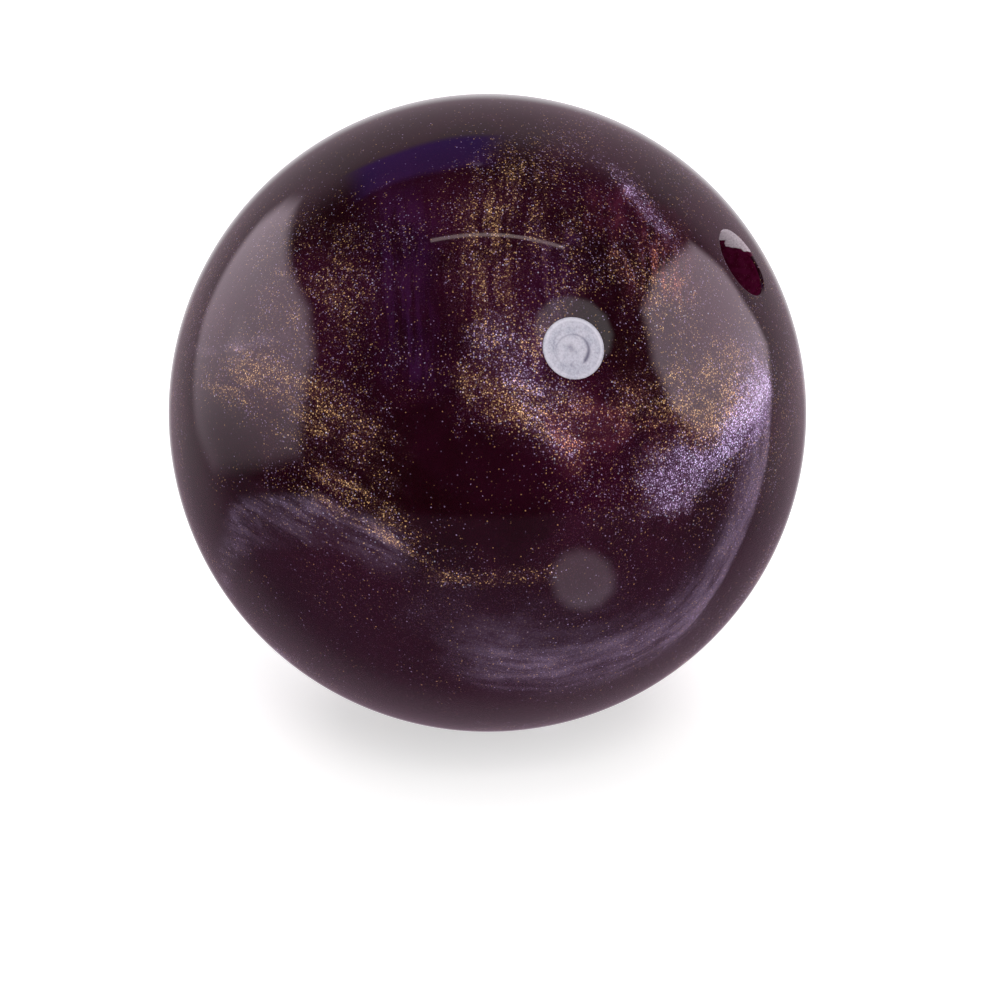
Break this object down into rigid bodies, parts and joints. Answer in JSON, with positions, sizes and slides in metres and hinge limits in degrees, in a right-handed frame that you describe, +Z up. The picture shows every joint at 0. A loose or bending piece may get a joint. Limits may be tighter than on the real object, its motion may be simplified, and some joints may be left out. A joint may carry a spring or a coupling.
{
  "type": "bowling ball",
  "caption": "Drilled ten-pin bowling ball with a glossy pearl shell, a pin plug, a bare thumb hole, finger holes with inserts, and a weight block inside",
  "frame": {"origin": "centre of the ball", "axes": "+Z up as the ball lies in the picture, -Y toward the side that shows the pin, +X toward the side with the thumb hole"},
  "size_m": [0.217, 0.217, 0.216],
  "materials": {
    "pearl_shell": "polished dark maroon and purple reactive resin with swirls of gold, lavender and red pearl flake",
    "filler": "cast resin filled with glass beads",
    "dense_core": "cast resin filled with heavy mineral",
    "pin_resin": "polished pale lavender resin with a faint swirl",
    "insert_vinyl": "soft moulded vinyl"
  },
  "bodies": {
    "root": {"coverstock": "pearl_shell", "outer_core": "filler", "weight_block": "dense_core", "pin": "pin_resin", "finger_insert_left": "insert_vinyl", "finger_insert_right": "insert_vinyl"}
  },
  "joints": []
}
